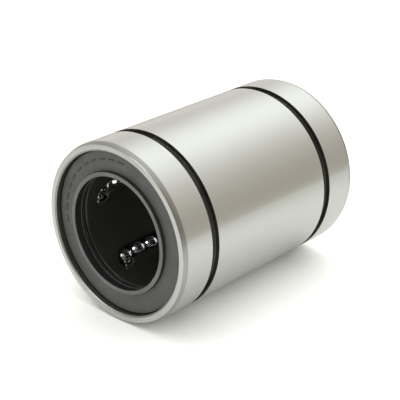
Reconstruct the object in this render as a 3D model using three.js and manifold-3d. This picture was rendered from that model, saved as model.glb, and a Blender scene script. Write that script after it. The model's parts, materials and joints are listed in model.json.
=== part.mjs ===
// Linear ball bushing, sealed, closed circular form, with two snap-ring grooves.
// Millimetres. The bore runs along Y: the front end face is at -Y and the rear end face at +Y.
// The bushing lies on its side, so Z is up, and the origin is the middle of the bore.
//
// Inside the steel sleeve a resin retainer carries five closed circuits of balls. On the load row
// of a circuit the balls reach through a slot in the retainer and roll between the shaft and a
// raceway land of the sleeve. At the end of the row they turn round a half circle and come back
// along the return row, where the sleeve is relieved and the balls are free.
import * as THREE from "three";
import { mergeVertices } from "three/addons/utils/BufferGeometryUtils.js";
import Module from "manifold-3d";

const wasm = await Module();
wasm.setup();

const radians = THREE.MathUtils.degToRad;
const Y_AXIS = new THREE.Vector3(0, 1, 0);

// ---------------------------------------------------------------- driving dimensions
const LENGTH = 45; // sleeve, end face to end face
const OUTER_R = 32 / 2; // housing bore
const SHAFT_R = 20 / 2;
const CIRCUITS = 5;

// Round pieces have an even number of facets, turned half a facet so that a flat lies underneath.
const FACETS = 48;
const HALF_FACET = Math.PI / FACETS;
const FLAT_TO_CORNER = 1 / Math.cos(HALF_FACET); // puts the flats, not the corners, on a radius

const GROOVE = {
  span: 31.5, // outer edge to outer edge of the two snap-ring grooves
  width: 1.6,
  floorR: 30.3 / 2,
};
const LEAD_IN = { r: 0.3, y: 0.85 }; // long, shallow lead-in on the outside edge of each end
const MOUTH = { r: 14.5, depth: 3.1 }; // recess that takes the side ring and the seal
const MOUTH_CHAMFER = { r: 0.3, y: 0.2 };
const RELIEF_R = 14.05; // sleeve bore behind the return rows
// Raceway lands over the load rows; each is sunk into the sleeve wall by its root.
const LAND = { r: 13.2, width: 3.6, length: 25.8, root: 0.6 };

const BALL_R = 3.175 / 2;
const PITCH = 3.267; // ball to ball along a row
const ROW_BALLS = 8; // balls in each straight row
const TURN_BALLS = 2; // balls in each turn
const MID_LOAD_BALLS = [3, 4]; // places in the load row, counted from 0, built as one piece
const SINGLE_LOAD_BALLS = [0, 1, 2, 5, 6, 7]; // places built as separate balls
// How far each load row stands along Y from its middle place; its turns and return row follow.
const PHASES = [0.45, -0.35, 0.2, 0.81, 0.03];
const LOAD_R = SHAFT_R + BALL_R; // pitch radius of the load rows: the balls just touch the shaft
const RETURN_R = 12.25; // pitch radius of the return rows
const RETURN_ANGLE = -22; // degrees from a load row to its return row; must be negative
const ROW_HALF = (ROW_BALLS * PITCH) / 2; // the straight rows end here
const TURN_STEP = 180 / TURN_BALLS; // degrees from ball to ball in a turn
// How far the plane of a turn rises outwards, which lifts the balls off the shaft.
const TURN_TILT = radians(12);
const LINK = { r: 0.25, sides: 4 }; // rod that holds two neighbouring balls together

const RETAINER = { inR: 10.25, outR: 13.0, halfLength: 19.35 };
const RETAINER_CHAMFER = { r: 0.16, y: 0.26 }; // inside edge of each end
const FLOOR_R = 10.55; // the bottom of the ball tracks
// Cuts for the track and the opening run from one height to another, measured outwards from the
// plane through the load and return rows.
const TRACK = { halfWidth: 1.65, turnSteps: 8, from: -2.4, to: 3.2 };
const SLOT = {
  halfWidth: 1.42,
  turn: radians(105), // part of each turn that the opening follows
  turnSteps: 7,
  from: -2.6,
  to: 0,
};

const RING = { inR: 10.65, outR: 14.35, y0: 19.45, y1: 19.95 }; // rear side ring
// Rear end seal: a flat annulus set back from the end face, with a raised collar round the shaft.
const SEAL = {
  outR: 14.4,
  back: 20.05, // y of the inner side
  face: 21.35, // y of the annulus face
  faceChamfer: 0.2, // outer edge of the face, and the corner where the face meets the collar
  lipR: SHAFT_R,
  lipOutR: 10.8,
  lip: 22.1, // y of the collar's end
  lipChamfer: 0.1, // outer edge of the collar
  boreChamfer: { r: 0.1, y: 0.25 }, // inner edge of the collar
  boreDepth: 0.9, // from the collar's end to where the bore starts to widen
  boreFlare: 0.15, // widening of the bore at the back
};

// ---------------------------------------------------------------- materials
const metal = (color, roughness) =>
  new THREE.MeshStandardMaterial({ color, roughness, metalness: 1.0 });
const matt = (color, roughness) =>
  new THREE.MeshStandardMaterial({ color, roughness, metalness: 0.0 });

const MATERIALS = {
  sleeve: metal(0xb9b7b3, 0.38), // ground steel
  ball: metal(0xd8d9dc, 0.08), // polished chrome steel
  ring: metal(0x8f9194, 0.35), // darker steel plate
  retainer: matt(0x16171a, 0.42), // black resin
  seal: matt(0x4a4b4d, 0.75), // grey rubber
};

// ---------------------------------------------------------------- solids and turned shapes
function toSolid(geometry) {
  const bare = geometry.clone();
  // Normals and texture coordinates would keep coincident vertices apart.
  bare.deleteAttribute("normal");
  bare.deleteAttribute("uv");
  const merged = mergeVertices(bare, 1e-4);
  return new wasm.Manifold(
    new wasm.Mesh({
      numProp: 3,
      vertProperties: merged.attributes.position.array,
      triVerts: new Uint32Array(merged.index.array),
    }),
  );
}

function toGeometry(solid) {
  const { numVert, numProp, vertProperties, triVerts } = solid.getMesh();
  const position = new Float32Array(numVert * 3);
  for (let i = 0; i < numVert; i++) {
    position.set(vertProperties.subarray(i * numProp, i * numProp + 3), i * 3);
  }
  const geometry = new THREE.BufferGeometry();
  geometry.setAttribute("position", new THREE.BufferAttribute(position, 3));
  geometry.setIndex(new THREE.BufferAttribute(new Uint32Array(triVerts), 1));
  geometry.computeVertexNormals();
  return geometry;
}

// A ring turned about the bore axis from a closed profile of [radius, y] corners, which run
// anticlockwise with the radius to the right and y up, so that the faces look outwards.
function turned(profile) {
  const points = [...profile, profile[0]].map(
    ([r, y]) => new THREE.Vector2(r * FLAT_TO_CORNER, y),
  );
  return new THREE.LatheGeometry(points, FACETS, HALF_FACET, 2 * Math.PI);
}

// The profile at the other end; its order is reversed to stay anticlockwise.
function mirrored(profile) {
  return profile.map(([r, y]) => [r, -y]).reverse();
}

// ---------------------------------------------------------------- outer sleeve
function sleeveProfile() {
  const end = LENGTH / 2;
  const grooveOuter = GROOVE.span / 2;
  const grooveInner = grooveOuter - GROOVE.width;
  const rearHalf = [
    [OUTER_R, grooveInner],
    [GROOVE.floorR, grooveInner],
    [GROOVE.floorR, grooveOuter],
    [OUTER_R, grooveOuter],
    [OUTER_R, end - LEAD_IN.y],
    [OUTER_R - LEAD_IN.r, end],
    [MOUTH.r + MOUTH_CHAMFER.r, end],
    [MOUTH.r, end - MOUTH_CHAMFER.y],
    [MOUTH.r, end - MOUTH.depth],
    [RELIEF_R, end - MOUTH.depth],
  ];
  return [...rearHalf, ...mirrored(rearHalf)];
}

// The angle of a circuit's load row about the bore, from +Z towards +X.
const loadAngle = (index) => radians((360 / CIRCUITS) * index);

function land(index) {
  const top = RELIEF_R + LAND.root;
  const box = new THREE.BoxGeometry(LAND.width, LAND.length, top - LAND.r);
  box.translate(0, 0, (top + LAND.r) / 2);
  return box.rotateY(loadAngle(index));
}

function outerSleeve() {
  let sleeve = toSolid(turned(sleeveProfile()));
  for (let i = 0; i < CIRCUITS; i++) {
    sleeve = sleeve.add(toSolid(land(i)));
  }
  return toGeometry(sleeve);
}

// ---------------------------------------------------------------- circuit layout
// The frame of one circuit: across points from the load row to the return row, out points away
// from the bore, and middle lies halfway between the rows.
function circuitFrame(index) {
  const atAngle = (r, angle) => new THREE.Vector3(r * Math.sin(angle), 0, r * Math.cos(angle));
  const load = atAngle(LOAD_R, loadAngle(index));
  const back = atAngle(RETURN_R, loadAngle(index) + radians(RETURN_ANGLE));
  const middle = load.clone().add(back).multiplyScalar(0.5);
  const across = back.clone().sub(load);
  const turnR = across.length() / 2;
  across.normalize();
  const out = Y_AXIS.clone().cross(across).normalize();
  return { load, back, middle, across, out, turnR };
}

// A point of a turn's half circle, at the front (end -1) or the rear (end 1). In degrees, 0 is
// where the load row meets the turn and 180 is where the return row does.
function turnPoint(circuit, end, degrees) {
  const angle = radians(degrees);
  const reach = circuit.turnR * Math.sin(angle);
  return circuit.middle
    .clone()
    .addScaledVector(circuit.across, -circuit.turnR * Math.cos(angle))
    .addScaledVector(circuit.out, reach * Math.sin(TURN_TILT))
    .addScaledVector(Y_AXIS, end * (ROW_HALF + reach * Math.cos(TURN_TILT)));
}

// ---------------------------------------------------------------- ball retainer
// Outlines lie in the circuit's plane, x across and y along the bore, and are the same at both
// ends. Their straight sides join half circles, or parts of them, centred on the row ends.
function racetrack(radius) {
  const points = [];
  for (const end of [1, -1]) {
    const start = end === 1 ? 0 : Math.PI;
    for (let i = 0; i <= TRACK.turnSteps; i++) {
      const angle = start + (Math.PI * i) / TRACK.turnSteps;
      const y = end * ROW_HALF + radius * Math.sin(angle);
      points.push(new THREE.Vector2(radius * Math.cos(angle), y));
    }
  }
  return points;
}

// The closed track, slightly wider than the balls.
function trackShape(turnR) {
  // Widened so that the flats of the outer turns lie clear of the balls.
  const flatToCorner = 1 / Math.cos(Math.PI / (2 * TRACK.turnSteps));
  const shape = new THREE.Shape(racetrack(turnR + TRACK.halfWidth * flatToCorner));
  shape.holes.push(new THREE.Path(racetrack(turnR - TRACK.halfWidth)));
  return shape;
}

// One long edge of the opening: round the lower turn, along the load row, round the upper turn.
function slotEdge(radius) {
  const point = (end, i) => {
    const angle = (SLOT.turn * i) / SLOT.turnSteps;
    const y = end * (ROW_HALF + radius * Math.sin(angle));
    return new THREE.Vector2(-radius * Math.cos(angle), y);
  };
  const points = [];
  for (let i = SLOT.turnSteps; i >= 0; i--) {
    points.push(point(-1, i));
  }
  for (let i = 0; i <= SLOT.turnSteps; i++) {
    points.push(point(1, i));
  }
  return points;
}

// The opening through which the load row reaches the shaft.
function slotShape(turnR) {
  return new THREE.Shape([
    ...slotEdge(turnR + SLOT.halfWidth),
    ...slotEdge(turnR - SLOT.halfWidth).reverse(),
  ]);
}

// A prism over an outline in the circuit's plane, between two heights along out.
function circuitPrism(circuit, shape, { from, to }) {
  const prism = new THREE.ExtrudeGeometry(shape, { depth: to - from, bevelEnabled: false });
  prism.translate(0, 0, from);
  // The outline's y is laid along -Y to keep the basis right-handed; the outline is symmetric.
  const basis = new THREE.Matrix4()
    .makeBasis(circuit.across, Y_AXIS.clone().negate(), circuit.out)
    .setPosition(circuit.middle);
  return toSolid(prism.applyMatrix4(basis));
}

function ballRetainer() {
  const { inR, outR, halfLength } = RETAINER;
  const rearHalf = [
    [outR, halfLength],
    [inR + RETAINER_CHAMFER.r, halfLength],
    [inR, halfLength - RETAINER_CHAMFER.y],
  ];
  let retainer = toSolid(turned([...mirrored(rearHalf), ...rearHalf]));

  // Taken out of each track cut, so that the track keeps a round floor.
  const floorR = FLOOR_R * FLAT_TO_CORNER;
  const floor = toSolid(
    new THREE.CylinderGeometry(floorR, floorR, LENGTH, FACETS, 1, false, HALF_FACET),
  );
  for (let i = 0; i < CIRCUITS; i++) {
    const circuit = circuitFrame(i);
    const track = circuitPrism(circuit, trackShape(circuit.turnR), TRACK).subtract(floor);
    const opening = circuitPrism(circuit, slotShape(circuit.turnR), SLOT);
    retainer = retainer.subtract(track).subtract(opening);
  }
  return toGeometry(retainer);
}

// ---------------------------------------------------------------- side rings and end seals
const ringProfile = [
  [RING.inR, RING.y0],
  [RING.outR, RING.y0],
  [RING.outR, RING.y1],
  [RING.inR, RING.y1],
];

const sealProfile = [
  [SEAL.lipR + SEAL.boreFlare, SEAL.back],
  [SEAL.outR, SEAL.back],
  [SEAL.outR, SEAL.face - SEAL.faceChamfer],
  [SEAL.outR - SEAL.faceChamfer, SEAL.face],
  [SEAL.lipOutR + SEAL.faceChamfer, SEAL.face],
  [SEAL.lipOutR, SEAL.face + SEAL.faceChamfer],
  [SEAL.lipOutR, SEAL.lip - SEAL.lipChamfer],
  [SEAL.lipOutR - SEAL.lipChamfer, SEAL.lip],
  [SEAL.lipR + SEAL.boreChamfer.r, SEAL.lip],
  [SEAL.lipR, SEAL.lip - SEAL.boreChamfer.y],
  [SEAL.lipR, SEAL.lip - SEAL.boreDepth],
];

// ---------------------------------------------------------------- balls
function fineBall({ x, y, z }) {
  return new THREE.IcosahedronGeometry(BALL_R, 1).translate(x, y, z);
}

function coarseBall({ x, y, z }) {
  return new THREE.OctahedronGeometry(BALL_R, 1).translate(x, y, z);
}

function link(start, end) {
  const along = end.clone().sub(start);
  const middle = start.clone().add(end).multiplyScalar(0.5);
  const rod = new THREE.CylinderGeometry(LINK.r, LINK.r, along.length(), LINK.sides);
  rod.applyQuaternion(new THREE.Quaternion().setFromUnitVectors(Y_AXIS, along.normalize()));
  return rod.translate(middle.x, middle.y, middle.z);
}

// Balls that travel as one piece, held together by thin links through their centres.
function ballGroup(centres) {
  const balls = centres.map(coarseBall);
  const links = centres.slice(1).map((centre, i) => link(centres[i], centre));
  const solids = [...balls, ...links].map(toSolid);
  return toGeometry(solids.reduce((group, solid) => group.add(solid)));
}

// The centre of the ball at place k of a row, counted from the front.
function rowPoint(row, k, shift) {
  return new THREE.Vector3(row.x, -ROW_HALF + PITCH * (k + 0.5) + shift, row.z);
}

function turnBalls(circuit, end, phase) {
  const shift = (end * TURN_STEP * phase) / PITCH; // degrees moved along with the load row
  const centres = Array.from({ length: TURN_BALLS }, (_, k) =>
    turnPoint(circuit, end, TURN_STEP * (k + 0.5) + shift),
  );
  return ballGroup(centres);
}

function addCircuitBalls(index) {
  const circuit = circuitFrame(index);
  const phase = PHASES[index];
  const addBalls = (name, geometry) =>
    add(`circuit_${index + 1}_${name}`, geometry, MATERIALS.ball);
  const loadPoint = (k) => rowPoint(circuit.load, k, phase);
  const returnPoint = (_, k) => rowPoint(circuit.back, k, -phase);

  for (const k of SINGLE_LOAD_BALLS) {
    addBalls(`load_ball_${String(k + 1).padStart(2, "0")}`, fineBall(loadPoint(k)));
  }
  addBalls("load_balls_mid", ballGroup(MID_LOAD_BALLS.map(loadPoint)));
  addBalls("return_balls", ballGroup(Array.from({ length: ROW_BALLS }, returnPoint)));
  addBalls("front_turn_balls", turnBalls(circuit, -1, phase));
  addBalls("rear_turn_balls", turnBalls(circuit, 1, phase));
}

// ---------------------------------------------------------------- assembly
const bushing = new THREE.Group();
bushing.name = "linear_ball_bushing";

function add(name, geometry, material) {
  const mesh = new THREE.Mesh(geometry, material);
  mesh.name = name;
  bushing.add(mesh);
}

add("outer_sleeve", outerSleeve(), MATERIALS.sleeve);
add("ball_retainer", ballRetainer(), MATERIALS.retainer);
add("front_side_ring", turned(mirrored(ringProfile)), MATERIALS.ring);
add("rear_side_ring", turned(ringProfile), MATERIALS.ring);
add("front_seal", turned(mirrored(sealProfile)), MATERIALS.seal);
add("rear_seal", turned(sealProfile), MATERIALS.seal);
for (let i = 0; i < CIRCUITS; i++) {
  addCircuitBalls(i);
}

export default bushing;
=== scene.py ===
# Linear ball bushing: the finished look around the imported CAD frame.
# The bore runs along Y through the origin, +Z is up; the front end faces -Y.
# Sizes are in millimetres and are turned to metres by MM when a mesh is made.
# Angles round the bore are measured from +Z towards +X.
import json
import math
import random

import bmesh
import bpy
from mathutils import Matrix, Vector


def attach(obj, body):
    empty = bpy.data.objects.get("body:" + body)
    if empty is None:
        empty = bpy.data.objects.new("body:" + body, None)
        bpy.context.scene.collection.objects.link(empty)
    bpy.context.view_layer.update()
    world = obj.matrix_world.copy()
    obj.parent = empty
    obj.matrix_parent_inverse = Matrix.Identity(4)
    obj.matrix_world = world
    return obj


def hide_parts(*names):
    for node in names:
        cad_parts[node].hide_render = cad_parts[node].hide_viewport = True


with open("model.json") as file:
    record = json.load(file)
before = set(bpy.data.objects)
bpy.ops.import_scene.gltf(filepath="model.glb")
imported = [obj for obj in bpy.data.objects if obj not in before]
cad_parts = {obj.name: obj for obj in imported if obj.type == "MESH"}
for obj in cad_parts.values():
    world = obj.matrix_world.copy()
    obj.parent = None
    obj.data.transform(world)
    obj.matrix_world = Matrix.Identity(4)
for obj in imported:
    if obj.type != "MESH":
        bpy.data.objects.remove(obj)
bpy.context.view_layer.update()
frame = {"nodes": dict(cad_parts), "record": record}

MM = 0.001
random.seed(7)

# ------------------------------------------------------------------ dimensions
ENDS = (("front", -1), ("rear", 1))     # name of each end and its sign along Y

# Outer sleeve
HALF_L = 22.5
OUTER_R = 16.0
GROOVE_IN, GROOVE_OUT, GROOVE_R = 14.15, 15.75, 15.15
LEAD_R, LEAD_Y = 0.30, 0.85             # drop and length of the lead-in at each end
MOUTH_R, MOUTH_CR, MOUTH_CY = 14.5, 0.30, 0.2
SHOULDER = 19.4
RELIEF_R = 14.05
LAND_R, LAND_W, LAND_L = 13.2, 1.8, 12.9    # raceway lands: radius, half width, half length
LAND_SINK, HOLLOW = 0.005, 0.03
LAND_MARGIN, LAND_FADE = 0.03, 0.035    # radians: how far a land's side reaches, its slope's width

# Side rings and seals
RING_IN, RING_OUT, RING_Y0, RING_Y1 = 10.65, 14.35, 19.45, 19.95
SEAL_BACK, SEAL_FACE, SEAL_LIP, SEAL_OUT = 20.05, 21.35, 22.1, 14.4
LIP_R, LIP_OUT = 10.0, 10.8
MARK_FROM, MARK_TO = -96.0, 4.0         # degrees, middles of the first and last dash
MARK_COUNT, MARK_LENGTH, MARK_HALF_W, MARK_R = 11, 1.5, 0.20, 12.80
MARK_FOOT, MARK_TOP, MARK_TAPER = -0.05, 0.11, 0.05     # heights from the seal's face
MARK_POINTS = 24

# Ball circuits
CIRCUITS = 5
BALL_R = 1.5875
PITCH = 3.267
ROW_BALLS = 8
ROW_HALF = ROW_BALLS * PITCH / 2
PHASES = [0.45, -0.35, 0.2, 0.81, 0.03]     # shift of each circuit's balls along its loop
LOAD_R = LIP_R + BALL_R
RETURN_R, RETURN_ANGLE = 12.25, -22.0
TURN_TILT = 12.0
TURN_ANGLES = (45, 135)

# Retainer
RET_IN, RET_OUT, RET_HALF, FLOOR_R = 10.25, 13.0, 19.35, 10.55
TRACK_W, SLOT_W = 1.65, 1.42            # half widths
TRACK_LOW, TRACK_HIGH = -2.4, 3.2       # from the circuit's plane, outwards
SLOT_LOW, SLOT_HIGH = -2.6, 0.0
SLOT_TURN = 105.0                       # degrees of each turn that the slot follows
TRACK_STEPS, SLOT_STEPS, TUBE_STEPS = 24, 22, 240
FLOOR_HALF, FLOOR_AXIS_R = 30, 0.001    # cylinder that keeps the track's floor

body_of_node = {
    node: body
    for body, nodes in frame["record"]["behaviour"]["bodies"].items()
    for node in nodes
}


# ------------------------------------------------------------------ shader nodes
class Nodes:
    """A node tree with short ways to add nodes; values may be sockets or numbers."""

    def __init__(self, tree):
        self.tree = tree
        tree.nodes.clear()

    def feed(self, socket, value):
        if isinstance(value, bpy.types.NodeSocket):
            self.tree.links.new(value, socket)
        elif socket.type == "RGBA":
            socket.default_value = (*value, 1)
        else:
            socket.default_value = value

    def fill(self, node, inputs):
        for key, value in inputs.items():
            self.feed(node.inputs[key], value)

    def new(self, kind, inputs=None, **settings):
        node = self.tree.nodes.new("ShaderNode" + kind)
        for key, value in settings.items():
            setattr(node, key, value)
        self.fill(node, inputs or {})
        return node

    def math(self, operation, a, b=None, clamp=False):
        inputs = {0: a} if b is None else {0: a, 1: b}
        return self.new("Math", inputs, operation=operation, use_clamp=clamp).outputs[0]

    def add(self, a, b):
        return self.math("ADD", a, b)

    def sub(self, a, b):
        return self.math("SUBTRACT", a, b)

    def mul(self, a, b):
        return self.math("MULTIPLY", a, b)

    def scaled(self, value, gain, offset):
        return self.add(self.mul(value, gain), offset)

    def fade(self, value, start, width):
        """0 up to start, rising to 1 over width."""
        return self.math("MULTIPLY", self.sub(value, start), 1 / width, clamp=True)

    def object_coords(self):
        return self.new("TexCoord").outputs["Object"]

    def coords(self, scale):
        """Object coordinates in metres times scale, one number or one per axis."""
        scale = scale if isinstance(scale, tuple) else (scale,) * 3
        inputs = {"Scale": scale, "Vector": self.object_coords()}
        return self.new("Mapping", inputs).outputs[0]

    def lathe_coords(self, along, around):
        """For marks that run round the bore: quick variation along Y, slow round the circle."""
        return self.coords((around, along, around))

    def face_coords(self, fine, across=30.0):
        """For turning marks on flat ends: the distance from the bore axis, and Y, times fine."""
        x, y, z = self.new("SeparateXYZ", {0: self.object_coords()}).outputs
        squares = self.add(self.math("POWER", x, 2.0), self.math("POWER", z, 2.0))
        inputs = {
            0: self.mul(self.math("SQRT", squares), fine),
            1: self.mul(y, fine),
            2: self.mul(x, across),
        }
        return self.new("CombineXYZ", inputs).outputs[0]

    def noise(self, vector, detail, rough, distortion=0.0):
        inputs = {"Scale": 1.0, "Detail": detail, "Roughness": rough,
                  "Distortion": distortion, "Vector": vector}
        return self.new("TexNoise", inputs).outputs["Fac"]

    def ramp(self, factor, stops):
        """stops: [(position, grey or RGB)]"""
        node = self.new("ValToRGB", {"Fac": factor})
        elements = node.color_ramp.elements
        while len(elements) < len(stops):
            elements.new(0.5)
        for element, (position, tone) in zip(elements, stops):
            element.position = position
            element.color = (*(tone if isinstance(tone, tuple) else (tone,) * 3), 1)
        return node.outputs["Color"]

    def mix(self, a, b, factor, blend="MIX"):
        node = self.new("Mix", data_type="RGBA", blend_type=blend)
        # only the sockets of the chosen data type are enabled
        enabled = [socket for socket in node.inputs if socket.enabled]
        for socket, value in zip(enabled, (factor, a, b)):
            self.feed(socket, value)
        return [socket for socket in node.outputs if socket.enabled][0]

    def bump(self, height, distance, strength, normal=None):
        inputs = {"Distance": distance, "Strength": strength, "Height": height}
        if normal is not None:
            inputs["Normal"] = normal
        return self.new("Bump", inputs).outputs[0]

    def vector_length(self, vector):
        return self.new("VectorMath", {0: vector}, operation="LENGTH").outputs["Value"]


def new_material(name):
    material = bpy.data.materials.new(name)
    material.use_nodes = True
    nodes = Nodes(material.node_tree)
    output = nodes.new("OutputMaterial")
    surface = nodes.new("BsdfPrincipled")
    nodes.feed(output.inputs[0], surface.outputs[0])
    return material, nodes, surface


def dimmed(stops, gain):
    return [(position, tuple(x * gain for x in tone)) for position, tone in stops]


# ------------------------------------------------------------------ materials
STEEL_TONES = [
    (0.30, (0.470, 0.472, 0.440)),
    (0.52, (0.482, 0.487, 0.455)),
    (0.72, (0.492, 0.498, 0.468)),
]
OXIDE_TONES = [
    (0.30, (0.045, 0.041, 0.034)),
    (0.55, (0.080, 0.078, 0.068)),
    (0.75, (0.120, 0.115, 0.098)),
]
OXIDE_LINES = [(0.3, (0.04, 0.038, 0.032)), (0.7, (0.13, 0.128, 0.115))]
RUBBER_TONES = [
    (0.30, (0.064, 0.0645, 0.0630)),
    (0.55, (0.076, 0.0765, 0.0750)),
    (0.75, (0.089, 0.0895, 0.0875)),
]
DUST = (0.26, 0.26, 0.25)
RESIN_SKIN = [(0.3, (0.0180, 0.0184, 0.0155)), (0.7, (0.0240, 0.0247, 0.0208))]
# painted light: a pale resin tone that lifts the shade in the slots and tracks
RESIN_PAINTED_LIGHT = [(0.3, (0.095, 0.097, 0.084)), (0.7, (0.130, 0.133, 0.115))]
BALL_TONES = [(0.3, (0.78, 0.79, 0.81)), (0.7, (0.86, 0.87, 0.89))]


def ground_steel(name="ground_bearing_steel", gain=1.0, roughness=0.19):
    material, nodes, surface = new_material(name)
    fine = nodes.noise(nodes.lathe_coords(along=14000.0, around=26.0), detail=3.0, rough=0.6)
    broad = nodes.noise(nodes.lathe_coords(along=1500.0, around=12.0), detail=3.0, rough=0.6)
    smudge = nodes.noise(nodes.coords((70, 45, 70)), detail=3.0, rough=0.55, distortion=0.4)
    lines = nodes.mix(fine, broad, factor=0.30)
    tint = nodes.ramp(smudge, dimmed(STEEL_TONES, gain))
    shade = nodes.ramp(lines, stops=[(0.25, 0.955), (0.75, 1.0)])
    line_roughness, smudge_roughness = 0.06, 0.05
    uneven = nodes.add(nodes.mul(lines, line_roughness), nodes.mul(smudge, smudge_roughness))
    nodes.fill(surface, {
        "Base Color": nodes.mix(tint, shade, factor=1.0, blend="MULTIPLY"),
        "Metallic": 1.0,
        "Roughness": nodes.add(uneven, roughness),
        "Anisotropic": 0.85,
        "Anisotropic Rotation": 0.25,
        "Tangent": nodes.new("Tangent", direction_type="RADIAL", axis="Y").outputs[0],
        "Normal": nodes.bump(lines, distance=0.0000022, strength=0.4),
    })
    return material


def turned_steel(name, base, roughness, line_depth=0.000006):
    material, nodes, surface = new_material(name)
    fine = nodes.noise(nodes.face_coords(fine=8000.0), detail=3.0, rough=0.6)
    smudge = nodes.noise(nodes.coords(160), detail=3.0, rough=0.55)
    dark = tuple(x * 0.86 for x in base)
    blotches = nodes.ramp(smudge, stops=[(0.3, dark), (0.7, base)])
    lines = nodes.ramp(fine, stops=[(0.25, dark), (0.75, base)])
    nodes.fill(surface, {
        "Base Color": nodes.mix(blotches, lines, factor=0.35),
        "Metallic": 1.0,
        "Roughness": nodes.scaled(fine, gain=0.16, offset=roughness - 0.08),
        "Normal": nodes.bump(fine, distance=line_depth, strength=0.6),
    })
    return material


def groove_oxide():
    material, nodes, surface = new_material("groove_hardening_oxide")
    fine = nodes.noise(nodes.face_coords(fine=7000.0), detail=3.0, rough=0.6)
    patch = nodes.noise(nodes.coords(220), detail=4.0, rough=0.6, distortion=0.5)
    patches = nodes.ramp(patch, OXIDE_TONES)
    nodes.fill(surface, {
        "Base Color": nodes.mix(patches, nodes.ramp(fine, OXIDE_LINES), factor=0.3),
        "Metallic": 0.85,
        "Roughness": nodes.scaled(patch, gain=0.2, offset=0.30),
        "Normal": nodes.bump(fine, distance=0.000010, strength=0.6),
    })
    return material


def seal_rubber(name="moulded_seal_rubber", gain=1.0, dust_gain=0.14, gloss=0.0):
    material, nodes, surface = new_material(name)
    grain = nodes.noise(nodes.coords(9000), detail=2.0, rough=0.55)
    cloud = nodes.noise(nodes.coords(260), detail=4.0, rough=0.6, distortion=0.3)
    dust = nodes.noise(nodes.coords(2600), detail=4.0, rough=0.7)
    clean = nodes.ramp(cloud, dimmed(RUBBER_TONES, gain))
    dusty = nodes.ramp(dust, stops=[(0.60, 0.0), (0.78, 1.0)])
    swell = nodes.bump(cloud, distance=0.00003, strength=0.5)
    nodes.fill(surface, {
        "Base Color": nodes.mix(clean, DUST, factor=nodes.mul(dusty, dust_gain)),
        "Roughness": nodes.scaled(grain, gain=0.18, offset=0.50 - gloss),
        "Specular IOR Level": 0.45,
        "Normal": nodes.bump(grain, distance=0.000012, strength=0.8, normal=swell),
    })
    return material


def retainer_resin():
    material, nodes, surface = new_material("moulded_retainer_resin")
    grain = nodes.noise(nodes.coords(5000), detail=3.0, rough=0.6)
    flow = nodes.noise(nodes.coords((180, 60, 180)), detail=3.0, rough=0.5, distortion=0.6)
    skin = nodes.ramp(flow, RESIN_SKIN)
    # painted light: what lies deeper than the bore's skin, short of the ends, is drawn
    # paler, to lift the shade in the slots and tracks
    position = nodes.object_coords()
    flat = nodes.new("VectorMath", {0: position, 1: (1.0, 0.0, 1.0)}, operation="MULTIPLY")
    from_axis = nodes.vector_length(flat.outputs["Vector"])
    deep = nodes.fade(from_axis, start=0.01028, width=0.00008)
    along = nodes.new("SeparateXYZ", {0: position}).outputs["Y"]
    painted_light_half = (RET_HALF - 0.9) * MM
    inside = nodes.math("LESS_THAN", nodes.math("ABSOLUTE", along, 0.0), painted_light_half)
    painted_slot_light = nodes.ramp(grain, RESIN_PAINTED_LIGHT)
    nodes.fill(surface, {
        "Base Color": nodes.mix(skin, painted_slot_light, factor=nodes.mul(deep, inside)),
        "Roughness": nodes.scaled(flow, gain=0.16, offset=0.30),
        "Specular IOR Level": 0.38,
        "Normal": nodes.bump(grain, distance=0.000008, strength=0.6),
    })
    return material


def ball_steel():
    material, nodes, surface = new_material("polished_ball_steel")
    fine = nodes.noise(nodes.coords((26000, 3000, 26000)), detail=2.0, rough=0.6)
    haze = nodes.noise(nodes.coords(900), detail=3.0, rough=0.5)
    nodes.fill(surface, {
        "Base Color": nodes.ramp(haze, BALL_TONES),
        "Metallic": 1.0,
        "Roughness": nodes.scaled(haze, gain=0.05, offset=0.03),
        "Normal": nodes.bump(fine, distance=0.0000004, strength=0.4),
    })
    return material


MAT = {
    "steel": ground_steel(),
    "lead": ground_steel("blended_lead_in_steel", gain=0.66, roughness=0.27),
    "face": turned_steel("turned_end_face", base=(0.500, 0.505, 0.477),
                         roughness=0.28, line_depth=0.000002),
    "chamfer": turned_steel("turned_chamfer_steel", base=(0.310, 0.308, 0.287), roughness=0.46),
    "mouth": turned_steel("turned_mouth_steel", base=(0.240, 0.235, 0.205), roughness=0.36),
    "race": turned_steel("ground_raceway_steel", base=(0.60, 0.59, 0.57),
                         roughness=0.22, line_depth=0.000002),
    "groove": groove_oxide(),
    "ring": turned_steel("stamped_ring_steel", base=(0.38, 0.38, 0.39), roughness=0.36),
    "rubber": seal_rubber(),
    # painted shade and highlight: a darker copy of the seal's rubber; it draws the raised dashes
    # darker than the seal's flat in place of their shadows, and a thin step in the bore lighter
    # than the near-black bore as a bright edge
    "mark": seal_rubber("mark_rubber", gain=0.62, dust_gain=0.05),
    # painted light: the lip ring is the seal's rubber drawn half again as light
    "lip": seal_rubber("painted_light_lip_rubber", gain=1.50, dust_gain=0.10),
    # painted shade: the collar's outer wall is the seal's rubber drawn near-black
    "wall": seal_rubber("painted_shade_collar_rubber", gain=0.22, dust_gain=0.02),
    # painted shade: the seal's bore behind the lip is the same rubber drawn near-black, a little
    # glossier
    "bore": seal_rubber("painted_shade_bore_rubber", gain=0.15, dust_gain=0.0, gloss=0.08),
    "resin": retainer_resin(),
    "ball": ball_steel(),
}


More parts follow.
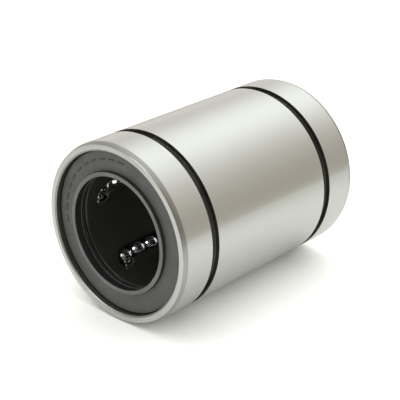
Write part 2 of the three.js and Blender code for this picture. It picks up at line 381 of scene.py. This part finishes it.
# ------------------------------------------------------------------ mesh helpers
# An outline is a closed list of points (radius, y, fillet, tag); the tag names the
# material of the edge that starts at the point.
def rounded(points, steps):
    """The outline with its corners filleted, as [(radius, y, tag)]."""
    outline = []
    for i, (r, y, fillet, tag) in enumerate(points):
        if fillet <= 0:
            outline.append((r, y, tag))
            continue
        corner = Vector((r, y))
        before, after = points[i - 1], points[(i + 1) % len(points)]
        to_before = Vector(before[:2]) - corner
        to_after = Vector(after[:2]) - corner
        limits = to_before.length * 0.48, to_after.length * 0.48
        to_before.normalize()
        to_after.normalize()
        half_angle = math.acos(max(-1, min(1, to_before.dot(to_after)))) / 2
        cut = min(fillet / math.tan(half_angle), *limits)
        radius = cut * math.tan(half_angle)
        bisector = (to_before + to_after).normalized()
        centre = corner + bisector * (radius / math.sin(half_angle))
        first = math.atan2(*(corner + to_before * cut - centre).yx)
        last = math.atan2(*(corner + to_after * cut - centre).yx)
        sweep = (last - first + math.pi) % (2 * math.pi) - math.pi
        for k in range(steps + 1):
            angle = first + sweep * k / steps
            point = centre + Vector((math.cos(angle), math.sin(angle))) * radius
            outline.append((point.x, point.y, tag if k >= steps / 2 else before[3]))
    return outline


def mirrored(points, closing_tag):
    """The outline mirrored in Y and walked backwards, each edge keeping its tag."""
    tags = [closing_tag] + [point[3] for point in points]
    pairs = list(zip(points, tags))
    return [(r, -y, fillet, tag) for (r, y, fillet, _), tag in reversed(pairs)]


def at_end(points, sign):
    return points if sign > 0 else mirrored(points, points[-1][3])


def add_object(name, data):
    piece = bpy.data.objects.new(name, data)
    bpy.context.scene.collection.objects.link(piece)
    return piece


def weight_normals(piece, sharp_angle):
    piece.data.set_sharp_from_angle(angle=math.radians(sharp_angle))
    weighted = piece.modifiers.new("weighted", "WEIGHTED_NORMAL")
    weighted.keep_sharp = True
    weighted.weight = 60


def mesh_object(name, verts, faces, mats, mat_ids=None, sharp_angle=38.0):
    """An object from millimetre vertices; flat shaded if sharp_angle is None."""
    mesh = bpy.data.meshes.new(name)
    mesh.from_pydata([(x * MM, y * MM, z * MM) for x, y, z in verts], [], faces)
    for material in mats:
        mesh.materials.append(material)
    if mat_ids:
        mesh.polygons.foreach_set("material_index", mat_ids)
    smooth = sharp_angle is not None
    mesh.polygons.foreach_set("use_smooth", [smooth] * len(mesh.polygons))
    mesh.validate()
    bm = bmesh.new()
    bm.from_mesh(mesh)
    bmesh.ops.recalc_face_normals(bm, faces=bm.faces)
    bm.to_mesh(mesh)
    bm.free()
    mesh.update()
    piece = add_object(name, mesh)
    if smooth:
        weight_normals(piece, sharp_angle)
    return piece


def revolve(name, outline, steps, tags, radius=None, sharp_angle=38.0):
    """Turns [(r, y, tag)] about Y. radius(angle, r, y) may change a point's radius."""
    verts, faces, mat_ids = [], [], []
    count = len(outline)
    for k in range(steps):
        angle = 2 * math.pi * k / steps
        for r, y, _ in outline:
            reach = radius(angle, r, y) if radius else r
            verts.append((reach * math.sin(angle), y, reach * math.cos(angle)))
    for k in range(steps):
        a, b = k * count, ((k + 1) % steps) * count
        for i in range(count):
            j = (i + 1) % count
            faces.append((a + i, a + j, b + j, b + i))
            mat_ids.append(tags.index(outline[i][2]))
    return mesh_object(name, verts, faces, [MAT[tag] for tag in tags], mat_ids, sharp_angle)


def keep(piece, body, slot, *cad_nodes):
    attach(piece, body)
    if cad_nodes:
        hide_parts(*cad_nodes)


# ------------------------------------------------------------------ outer sleeve
def sleeve_radius(angle, r, y):
    """Raises the raceway lands, one per circuit, from the relieved bore."""
    if abs(r - RELIEF_R) > 0.02 or abs(y) > LAND_L + 0.01:
        return r
    land_half = LAND_W / LAND_R
    step = 2 * math.pi / CIRCUITS
    off = abs((angle + step / 2) % step - step / 2)
    rise = min(1.0, max(0.0, (land_half + LAND_MARGIN - off) / LAND_FADE))
    rise = rise * rise * (3 - 2 * rise)
    # the raceway is a shallow hollow along the middle of the land
    hollow = HOLLOW * max(0.0, 1 - (off / (land_half * 0.75)) ** 2)
    return r + rise * (LAND_R - LAND_SINK + hollow - r)


def sleeve():
    # the +Y half: radius, y, fillet, tag
    half = [
        (OUTER_R, GROOVE_IN, 0.07, "groove"),
        (GROOVE_R, GROOVE_IN, 0.14, "groove"),
        (GROOVE_R, GROOVE_OUT, 0.14, "groove"),
        (OUTER_R, GROOVE_OUT, 0.07, "steel"),
        (OUTER_R, HALF_L - LEAD_Y, 1.6, "lead"),
        (OUTER_R - LEAD_R, HALF_L, 0.12, "face"),
        (MOUTH_R + MOUTH_CR, HALF_L, 0.05, "chamfer"),
        (MOUTH_R, HALF_L - MOUTH_CY, 0.06, "mouth"),
        (MOUTH_R, SHOULDER, 0.10, "mouth"),
        (RELIEF_R, SHOULDER, 0.08, "race"),
        (RELIEF_R, LAND_L + 0.7, 0, "race"),
        (RELIEF_R, LAND_L, 0, "race"),
        (RELIEF_R, LAND_L - 0.25, 0, "race"),
        (RELIEF_R, 5.0, 0, "race"),
    ]
    outline = rounded(half + mirrored(half, "steel"), steps=5)
    tags = ["steel", "groove", "lead", "face", "chamfer", "mouth", "race"]
    piece = revolve("sleeve_ground", outline, 360, tags, sleeve_radius, sharp_angle=42.0)
    keep(piece, body_of_node["outer_sleeve"], "bearing_steel", "outer_sleeve")


sleeve()


# ------------------------------------------------------------------ side rings and seals
def side_ring(side, sign):
    points = [
        (RING_IN, RING_Y0, 0.05, "ring"),
        (RING_OUT, RING_Y0, 0.05, "ring"),
        (RING_OUT, RING_Y1, 0.16, "ring"),
        (RING_IN, RING_Y1, 0.16, "ring"),
    ]
    outline = rounded(at_end(points, sign), steps=4)
    piece = revolve(f"side_ring_{side}", outline, 192, ["ring"])
    cad = f"{side}_side_ring"
    keep(piece, body_of_node[cad], "ring_steel", cad)


def seal(side, sign):
    points = [
        (LIP_R + 0.22, SEAL_BACK, 0.08, "rubber"),
        (SEAL_OUT, SEAL_BACK, 0.10, "rubber"),
        (SEAL_OUT, SEAL_FACE, 0.16, "rubber"),
        # painted shade: the collar's outer wall takes the near-black rubber
        (LIP_OUT + 0.03, SEAL_FACE, 0.10, "wall"),
        # painted light: the lip ring takes the lighter rubber
        (LIP_OUT, SEAL_LIP, 0.06, "lip"),
        # painted shade: from here back, the seal's bore takes the near-black rubber
        (LIP_R + 0.06, SEAL_LIP, 0.05, "bore"),
        (LIP_R + 0.01, SEAL_LIP - 0.26, 0.08, "bore"),
        (LIP_R + 0.24, SEAL_LIP - 0.55, 0.12, "bore"),
        # painted highlight: this thin step takes the marks' rubber, lighter than the bore round it
        (LIP_R + 0.24, SEAL_BACK + 0.44, 0.03, "mark"),
        (LIP_R + 0.13, SEAL_BACK + 0.38, 0.03, "bore"),
        (LIP_R + 0.15, SEAL_BACK + 0.16, 0.05, "bore"),
    ]
    outline = rounded(at_end(points, sign), steps=5)
    piece = revolve(f"seal_{side}", outline, 288, ["rubber", "wall", "lip", "bore", "mark"])
    cad = f"{side}_seal"
    keep(piece, body_of_node[cad], "seal_rubber", cad)


def seal_marks(side, sign):
    """A plain row of equal raised dashes on the flat of the seal."""
    verts, faces = [], []
    count = MARK_POINTS
    step = (MARK_TO - MARK_FROM) / (MARK_COUNT - 1)
    straight = MARK_LENGTH / 2 - MARK_HALF_W
    for i in range(MARK_COUNT):
        middle = math.radians(MARK_FROM + step * i)
        # a rounded bar: its outline at the foot, then a smaller one on top
        for height, taper in ((MARK_FOOT, 0.0), (MARK_TOP, MARK_TAPER)):
            y = sign * (SEAL_FACE + height)
            for k in range(count):
                t = 2 * math.pi * k / count
                along = math.cos(t) * (MARK_HALF_W - taper)
                along += straight if math.cos(t) > 0 else -straight
                angle = middle + along / MARK_R
                r = MARK_R + math.sin(t) * (MARK_HALF_W - taper)
                verts.append((r * math.sin(angle), y, r * math.cos(angle)))
        foot = i * 2 * count
        top = foot + count
        faces.append(tuple(foot + k for k in range(count)))
        faces.append(tuple(top + k for k in reversed(range(count))))
        for k in range(count):
            j = (k + 1) % count
            faces.append((foot + k, foot + j, top + j, top + k))
    # painted shade: the dashes take the darker marks' rubber in place of their shadows
    piece = mesh_object(f"seal_marks_{side}", verts, faces, [MAT["mark"]], sharp_angle=50.0)
    keep(piece, body_of_node[f"{side}_seal"], "seal_rubber")


for build in (side_ring, seal, seal_marks):
    for side, sign in ENDS:
        build(side, sign)


# ------------------------------------------------------------------ circuits
def circuit(index):
    """A ball loop's frame: its two row centres, its middle and its plane."""
    load_angle = 2 * math.pi * index / CIRCUITS
    back_angle = load_angle + math.radians(RETURN_ANGLE)
    load = Vector((LOAD_R * math.sin(load_angle), 0, LOAD_R * math.cos(load_angle)))
    back = Vector((RETURN_R * math.sin(back_angle), 0, RETURN_R * math.cos(back_angle)))
    middle = (load + back) / 2
    across = back - load
    turn = across.length / 2
    across.normalize()
    out = Vector((0, 1, 0)).cross(across).normalized()
    if out.dot(middle) < 0:
        out = -out
    return {"load": load, "back": back, "middle": middle,
            "across": across, "out": out, "turn": turn}


def turn_point(loop, end, degrees):
    """A point on the tilted half circle at one end, from the load row round to the return."""
    tilt = math.radians(TURN_TILT)
    angle = math.radians(degrees)
    reach = loop["turn"] * math.sin(angle)
    up = loop["out"] * (reach * math.sin(tilt))
    base = loop["middle"] - loop["across"] * (loop["turn"] * math.cos(angle))
    return base + up + Vector((0, end * (ROW_HALF + reach * math.cos(tilt)), 0))


def prism(name, loop, rings, low, high):
    """A closed prism over one outline, or over an outer and an inner one of equal length.

    Outline points are (across, y) in the circuit's plane; low and high are outward heights.
    """
    verts, faces = [], []
    for height in (low, high):
        for ring in rings:
            for u, v in ring:
                point = loop["middle"] + loop["across"] * u + Vector((0, v, 0))
                verts.append(tuple(point + loop["out"] * height))
    n = len(rings[0])
    if len(rings) == 1:
        faces.append(tuple(range(n)))
        faces.append(tuple(range(2 * n - 1, n - 1, -1)))
    for i in range(n):
        j = (i + 1) % n
        if len(rings) == 1:
            faces.append((i, i + n, j + n, j))
        else:
            faces.append((i, j, n + j, n + i))
            faces.append((2 * n + i, 3 * n + i, 3 * n + j, 2 * n + j))
            faces.append((i, 2 * n + i, 2 * n + j, j))
            faces.append((n + i, n + j, 3 * n + j, 3 * n + i))
    return mesh_object(name, verts, faces, [MAT["resin"]], sharp_angle=None)


def track_rings(turn):
    """Outer and inner edge of the whole loop."""
    rings = []
    for offset in (TRACK_W, -TRACK_W):
        ring, r = [], turn + offset
        for start, centre in ((0, ROW_HALF), (math.pi, -ROW_HALF)):
            for i in range(TRACK_STEPS + 1):
                t = start + math.pi * i / TRACK_STEPS
                ring.append((r * math.cos(t), centre + r * math.sin(t)))
        rings.append(ring)
    return rings


def slot_ring(turn):
    """Outline of the load row's slot, which runs on into both turns."""
    outer, inner = [], []
    stations = [(-1, i) for i in range(SLOT_STEPS, -1, -1)]
    stations += [(1, i) for i in range(SLOT_STEPS + 1)]
    for end, i in stations:
        t = math.radians(SLOT_TURN) * i / SLOT_STEPS
        u, v = -turn * math.cos(t), end * (ROW_HALF + turn * math.sin(t))
        normal_u, normal_v = -math.cos(t), end * math.sin(t)
        outer.append((u + normal_u * SLOT_W, v + normal_v * SLOT_W))
        inner.append((u - normal_u * SLOT_W, v - normal_v * SLOT_W))
    return [outer + inner[::-1]]


def cut(target, cutter):
    modifier = target.modifiers.new("cut", "BOOLEAN")
    modifier.operation = "DIFFERENCE"
    modifier.object = cutter
    modifier.solver = "EXACT"


def plain_tube(name, outline):
    tube = revolve(name, outline, TUBE_STEPS, ["resin"])
    tube.modifiers.clear()
    return tube


def retainer():
    points = [
        (RET_IN, -RET_HALF + 0.26, 0.06, "resin"),
        (RET_IN + 0.16, -RET_HALF, 0.05, "resin"),
        (RET_OUT, -RET_HALF, 0.15, "resin"),
        (RET_OUT, RET_HALF, 0.15, "resin"),
        (RET_IN + 0.16, RET_HALF, 0.05, "resin"),
        (RET_IN, RET_HALF - 0.26, 0.06, "resin"),
    ]
    floor_corners = ((FLOOR_AXIS_R, -FLOOR_HALF), (FLOOR_R, -FLOOR_HALF),
                     (FLOOR_R, FLOOR_HALF), (FLOOR_AXIS_R, FLOOR_HALF))
    tube = plain_tube("retainer_tube", rounded(points, steps=3))
    spare = [tube]
    for i in range(CIRCUITS):
        loop = circuit(i)
        track = prism(f"track_{i}", loop, track_rings(loop["turn"]), TRACK_LOW, TRACK_HIGH)
        floor = plain_tube(f"floor_{i}", [(r, y, "resin") for r, y in floor_corners])
        cut(track, floor)
        slot = prism(f"slot_{i}", loop, slot_ring(loop["turn"]), SLOT_LOW, SLOT_HIGH)
        cut(tube, track)
        cut(tube, slot)
        spare += [track, floor, slot]

    depsgraph = bpy.context.evaluated_depsgraph_get()
    mesh = bpy.data.meshes.new_from_object(tube.evaluated_get(depsgraph))
    mesh.name = "retainer_moulded"
    mesh.materials.clear()
    mesh.materials.append(MAT["resin"])
    mesh.polygons.foreach_set("material_index", [0] * len(mesh.polygons))
    mesh.polygons.foreach_set("use_smooth", [True] * len(mesh.polygons))
    piece = add_object("retainer_moulded", mesh)
    weight_normals(piece, sharp_angle=30.0)
    for used in spare:
        used_mesh = used.data
        bpy.data.objects.remove(used)
        bpy.data.meshes.remove(used_mesh)
    keep(piece, body_of_node["ball_retainer"], "retainer_resin", "ball_retainer")


retainer()


def ball_mesh(cuts):
    """A ball with even quads: a cube's faces divided and pushed out to the sphere."""
    bm = bmesh.new()
    bmesh.ops.create_cube(bm, size=2.0)
    bmesh.ops.subdivide_edges(bm, edges=bm.edges[:], cuts=cuts, use_grid_fill=True)
    for vert in bm.verts:
        x, y, z = (math.tan(c * math.pi / 4) for c in vert.co)
        vert.co = Vector((x, y, z)).normalized() * BALL_R * MM
    for face in bm.faces:
        face.smooth = True
    mesh = bpy.data.meshes.new("ball")
    bm.to_mesh(mesh)
    bm.free()
    mesh.materials.append(MAT["ball"])
    return mesh


BALL = ball_mesh(cuts=13)


def ball(name, position, body, *cad_nodes):
    piece = add_object(name, BALL)
    piece.location = position * MM
    piece.rotation_euler = [random.uniform(0, 2 * math.pi) for _ in range(3)]
    keep(piece, body, "ball_steel", *cad_nodes)


def circuit_balls(index):
    loop = circuit(index)
    load, back = loop["load"], loop["back"]
    cad, short = f"circuit_{index + 1}", f"c{index + 1}"
    phase = PHASES[index]
    shift = 90 * phase / PITCH
    for k in range(ROW_BALLS):
        y = -ROW_HALF + PITCH * (k + 0.5)
        # some load balls are single CAD nodes, the rest share one
        replaced = [f"{cad}_load_ball_{k + 1:02d}"]
        if replaced[0] not in frame["nodes"]:
            replaced = [f"{cad}_load_balls_mid"] if k == 3 else []
        ball(f"{short}_load_{k + 1:02d}", Vector((load.x, y + phase, load.z)),
             f"{cad}_load_row", *replaced)
        replaced = [f"{cad}_return_balls"] if k == 0 else []
        ball(f"{short}_return_{k + 1:02d}", Vector((back.x, y - phase, back.z)),
             f"{cad}_return_row", *replaced)
    for j, degrees in enumerate(TURN_ANGLES):
        for side, end in ENDS:
            replaced = [f"{cad}_{side}_turn_balls"] if j == 0 else []
            ball(f"{short}_{side}_turn_{j + 1}", turn_point(loop, end, degrees + end * shift),
                 f"{cad}_{side}_turn", *replaced)


for i in range(CIRCUITS):
    circuit_balls(i)


# ------------------------------------------------------------------ stage
FLOOR_HALF_SIDE = 2.5                   # metres
FLOOR_TONES = [(0.3, (0.927, 0.921, 0.897)), (0.7, (0.937, 0.931, 0.907))]
# painted reflections: tones of the floor that only the steel's mirror rays see, from the middle
# outwards
MIRRORED_NEAR, MIRRORED_MIDDLE = (0.875, 0.88, 0.865), (0.68, 0.685, 0.67)
MIRRORED_FAR = (0.46, 0.43, 0.375)


def floor_material():
    material, nodes, surface = new_material("pale_floor")
    white = nodes.ramp(nodes.noise(nodes.coords(40), detail=3.0, rough=0.5), FLOOR_TONES)
    # painted reflection: mirrors see the floor darken away from the middle, to a warm grey past
    # 120 mm, standing in for a small white card in a warm grey room
    distance = nodes.vector_length(nodes.object_coords())
    glossy = nodes.new("LightPath").outputs["Is Glossy Ray"]
    far = nodes.mul(nodes.fade(distance, start=0.120, width=0.05), glossy)
    middle = nodes.mul(nodes.fade(distance, start=0.045, width=0.055), glossy)
    near = nodes.mix(white, MIRRORED_NEAR, factor=glossy)
    near = nodes.mix(near, MIRRORED_MIDDLE, factor=middle)
    nodes.fill(surface, {
        "Base Color": nodes.mix(near, MIRRORED_FAR, factor=far),
        "Roughness": 0.85,
        "Specular IOR Level": 0.15,
    })
    return material


def floor_plane():
    material = floor_material()
    mesh = bpy.data.meshes.new("floor")
    s, z = FLOOR_HALF_SIDE, -OUTER_R * MM
    mesh.from_pydata([(-s, -s, z), (s, -s, z), (s, s, z), (-s, s, z)], [], [(0, 1, 2, 3)])
    mesh.materials.append(material)
    add_object("floor", mesh)


floor_plane()


# ------------------------------------------------------------------ world light
ROOM_BASE, ROOM_TOP = 0.70, 0.94        # level at the horizon, gain towards the zenith
MATT_GAIN, SIDE_GAIN = 0.26, 1.12       # extra light for matt surfaces: all round, from the sides
# Lobes: azimuth from +X and elevation in degrees, tightness, gain
SOFT_BOX = (104, 37, 10.0, 0.97)
LOW_BOX = (143, -12, 16.0, 1.0)
DARK_RIGHT = (-44, 22, 4.2, 0.92)
DARK_FRONT = (-105, 32, 3.2, 0.92)
MATT_DARK_FRONT = (-100, 20, 3.5, 0.45)
LAMP = (-103, 37, 60.0, 14.0)
SIDE_RIGHT = (-14, 22, 5.0, 0.95)
SIDE_LEFT = (-165, 25, 8.0, 1.2)
# dim parts of the room are warm, bright ones neutral
ROOM_TINTS = [
    (0.30, (1.075, 1.0, 0.90)),
    (0.62, (1.01, 1.0, 0.985)),
    (0.90, (0.985, 1.0, 1.01)),
]


def lobe(nodes, vector, azimuth, elevation, tightness, gain):
    """gain in the given direction, falling off round it."""
    a, e = math.radians(azimuth), math.radians(elevation)
    towards = (math.cos(e) * math.cos(a), math.cos(e) * math.sin(a), math.sin(e))
    dot = nodes.new("VectorMath", {0: vector, 1: towards}, operation="DOT_PRODUCT")
    falloff = nodes.mul(nodes.sub(dot.outputs["Value"], 1.0), tightness)
    return nodes.mul(nodes.math("EXPONENT", falloff), gain)


def studio():
    """A soft box above and behind, a grey room round it, a dark side by the camera."""
    world = bpy.data.worlds.new("studio")
    bpy.context.scene.world = world
    world.use_nodes = True
    nodes = Nodes(world.node_tree)
    output = nodes.new("OutputWorld")
    light = nodes.new("Background")
    backdrop = nodes.new("Background", {"Color": (1, 1, 1), "Strength": 1.0})
    view = nodes.new("TexCoord").outputs["Generated"]
    path = nodes.new("LightPath").outputs
    glossy, diffuse = path["Is Glossy Ray"], path["Is Diffuse Ray"]

    up = nodes.math("MAXIMUM", nodes.new("SeparateXYZ", {0: view}).outputs[2], 0.0)
    room = nodes.scaled(nodes.math("POWER", up, 2.0), gain=ROOM_TOP, offset=ROOM_BASE)
    boxes = nodes.add(lobe(nodes, view, *SOFT_BOX), lobe(nodes, view, *LOW_BOX))
    total = nodes.add(room, boxes)

    # mirrors see two dark lobes, matt surfaces a weaker one at the front
    shade = nodes.mul(nodes.sub(1.0, lobe(nodes, view, *DARK_RIGHT)),
                      nodes.sub(1.0, lobe(nodes, view, *DARK_FRONT)))
    dark = nodes.mul(nodes.sub(1.0, shade), glossy)
    dark = nodes.add(dark, nodes.mul(lobe(nodes, view, *MATT_DARK_FRONT), diffuse))
    total = nodes.mul(total, nodes.sub(1.0, dark))

    # only mirrors see the lamp; matt surfaces get more light, most of it from the sides
    total = nodes.add(total, nodes.mul(lobe(nodes, view, *LAMP), glossy))
    sides = nodes.add(lobe(nodes, view, *SIDE_RIGHT), lobe(nodes, view, *SIDE_LEFT))
    extra = nodes.scaled(sides, gain=SIDE_GAIN, offset=MATT_GAIN)
    total = nodes.mul(total, nodes.scaled(diffuse, gain=extra, offset=1.0))
    tint = nodes.ramp(nodes.mul(total, 0.5), ROOM_TINTS)
    nodes.fill(light, {"Color": tint, "Strength": total})

    # the camera itself sees plain white
    inputs = {0: path["Is Camera Ray"], 1: light.outputs[0], 2: backdrop.outputs[0]}
    nodes.feed(output.inputs[0], nodes.new("MixShader", inputs).outputs[0])


studio()

# ------------------------------------------------------------------ camera and render
CAMERA_AT = (0.131584, -0.146320, 0.086758)     # metres
CAMERA_LOOK = (-0.61349, 0.67640, -0.40758)     # direction

camera_data = bpy.data.cameras.new("camera")
camera = add_object("camera", camera_data)
camera_data.sensor_width = 36.0
camera_data.lens = 108.207
camera_data.clip_start = 0.005
camera_data.clip_end = 20.0
camera.location = CAMERA_AT
camera.rotation_mode = "QUATERNION"
camera.rotation_quaternion = Vector(CAMERA_LOOK).to_track_quat("-Z", "Y")

scene = bpy.context.scene
scene.camera = camera
scene.view_settings.view_transform = "Standard"
scene.view_settings.look = "None"
scene.view_settings.exposure = 0.0
scene.view_settings.gamma = 1.0
scene.cycles.max_bounces = 14
scene.cycles.glossy_bounces = 8
scene.cycles.diffuse_bounces = 6
